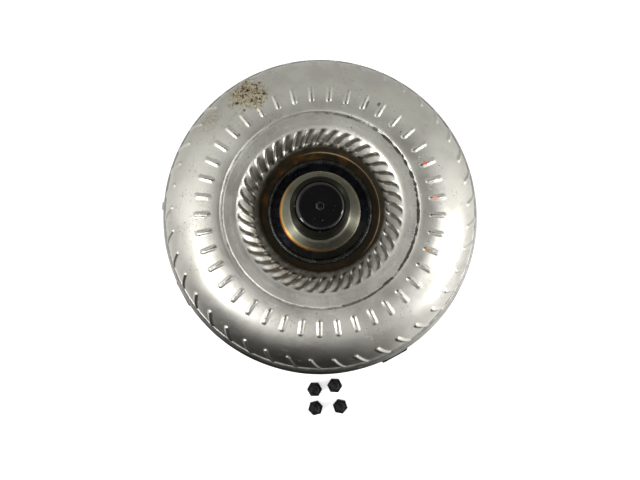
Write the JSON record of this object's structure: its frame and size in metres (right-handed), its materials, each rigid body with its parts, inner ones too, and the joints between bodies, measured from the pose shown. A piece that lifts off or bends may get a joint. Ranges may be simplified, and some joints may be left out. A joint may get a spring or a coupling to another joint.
{
  "type": "torque converter",
  "caption": "Welded torque converter with ribbed impeller shell, splined hubs, lock-up clutch, transit plug and loose flexplate bolts.",
  "frame": {"origin": "centre of the crank pilot's end face, which is what the part stands on", "axes": "+Z along the turning axis towards the transmission, out of the pump hub; +X and +Y across it, with the loose bolts on the -Y side"},
  "size_m": [0.3014, 0.3429, 0.157],
  "materials": {
    "pressed_steel": "satin, oil-stained pressed steel",
    "weld_steel": "rippled weld metal",
    "machined_steel": "turned and ground steel",
    "black_steel": "black phosphated steel",
    "sheet_steel": "oily stamped sheet",
    "bearing_steel": "ground and polished",
    "brass_cage": "satin",
    "spring_steel": "oil-tempered wire",
    "seal_polymer": "matt",
    "friction_paper": "porous friction paper",
    "cast_aluminium": "as cast",
    "black_plastic": "glossy moulded plastic",
    "black_bolt": "black oxide"
  },
  "bodies": {
    "housing": {"front_cover": "pressed_steel", "pilot_hub": "machined_steel", "drive_lugs": "black_steel", "balance_weight": "pressed_steel", "seam_weld": "weld_steel", "impeller_shell": "pressed_steel", "impeller_blades": "sheet_steel", "impeller_core_ring": "sheet_steel", "pump_hub": "machined_steel", "hub_weld": "weld_steel", "cover_bearing_lower_race": "bearing_steel", "impeller_bearing_upper_race": "bearing_steel"},
    "turbine": {"turbine_hub": "machined_steel", "turbine_shell": "sheet_steel", "turbine_blades": "sheet_steel", "turbine_core_ring": "sheet_steel", "turbine_rivets": "machined_steel", "piston_seal": "seal_polymer", "damper_driven_ring": "sheet_steel", "cover_bearing_upper_race": "bearing_steel", "turbine_bearing_lower_race": "bearing_steel"},
    "damper": {"damper_plate": "sheet_steel", "damper_springs": "spring_steel"},
    "lockup_clutch": {"lockup_piston": "sheet_steel", "friction_lining": "friction_paper"},
    "stator": {"stator_wheel": "cast_aluminium", "clutch_outer_race": "machined_steel", "clutch_rollers": "bearing_steel", "roller_springs": "spring_steel", "clutch_end_plate": "machined_steel", "snap_ring": "spring_steel", "turbine_bearing_upper_race": "bearing_steel", "impeller_bearing_lower_race": "bearing_steel"},
    "stator_hub": {"clutch_inner_race": "machined_steel"},
    "cover_cage": {"cover_bearing_cage": "brass_cage", "cover_bearing_needles": "bearing_steel"},
    "turbine_cage": {"turbine_bearing_cage": "brass_cage", "turbine_bearing_needles": "bearing_steel"},
    "impeller_cage": {"impeller_bearing_cage": "brass_cage", "impeller_bearing_needles": "bearing_steel"},
    "transit_plug": {"hub_plug": "black_plastic"},
    "bolt_1": {"flexplate_bolt_1": "black_bolt"},
    "bolt_2": {"flexplate_bolt_2": "black_bolt"},
    "bolt_3": {"flexplate_bolt_3": "black_bolt"},
    "bolt_4": {"flexplate_bolt_4": "black_bolt"}
  },
  "joints": [
    {"name": "turbine_spin", "type": "hinge", "parent": "housing", "child": "turbine", "pos_m": [0, 0, 0.06], "axis": [0, 0, 1], "continuous": true},
    {"name": "damper_twist", "type": "hinge", "parent": "turbine", "child": "damper", "pos_m": [0, 0, 0.035], "axis": [0, 0, 1], "range_deg": [-6, 6], "stiffness_Nm_per_rad": 800, "deforming": ["damper_springs"]},
    {"name": "piston_travel", "type": "slide", "parent": "damper", "child": "lockup_clutch", "axis": [0, 0, -1], "range_m": [0, 0.0009]},
    {"name": "stator_spin", "type": "hinge", "parent": "housing", "child": "stator", "pos_m": [0, 0, 0.078], "axis": [0, 0, 1], "continuous": true},
    {"name": "clutch_race_spin", "type": "hinge", "parent": "stator", "child": "stator_hub", "pos_m": [0, 0, 0.078], "axis": [0, 0, 1], "continuous": true},
    {"name": "cover_cage_spin", "type": "hinge", "parent": "housing", "child": "cover_cage", "pos_m": [0, 0, 0.0175], "axis": [0, 0, 1], "continuous": true},
    {"name": "turbine_cage_spin", "type": "hinge", "parent": "housing", "child": "turbine_cage", "pos_m": [0, 0, 0.0624], "axis": [0, 0, 1], "continuous": true},
    {"name": "impeller_cage_spin", "type": "hinge", "parent": "housing", "child": "impeller_cage", "pos_m": [0, 0, 0.0929], "axis": [0, 0, 1], "continuous": true},
    {"name": "plug_pull", "type": "slide", "parent": "housing", "child": "transit_plug", "axis": [0, 0, 1], "range_m": [0, 0.06]},
    {"name": "bolt_1_lift", "type": "slide", "parent": "housing", "child": "bolt_1", "axis": [0, 0, 1], "range_m": [0, 0.06]},
    {"name": "bolt_2_lift", "type": "slide", "parent": "housing", "child": "bolt_2", "axis": [0, 0, 1], "range_m": [0, 0.06]},
    {"name": "bolt_3_lift", "type": "slide", "parent": "housing", "child": "bolt_3", "axis": [0, 0, 1], "range_m": [0, 0.06]},
    {"name": "bolt_4_lift", "type": "slide", "parent": "housing", "child": "bolt_4", "axis": [0, 0, 1], "range_m": [0, 0.06]}
  ],
  "couplings": [
    {"joint": "cover_cage_spin", "follows": "turbine_spin", "ratio": 0.5},
    {"joint": "turbine_cage_spin", "follows": "turbine_spin", "ratio": 0.5},
    {"joint": "impeller_cage_spin", "follows": "stator_spin", "ratio": 0.5}
  ]
}
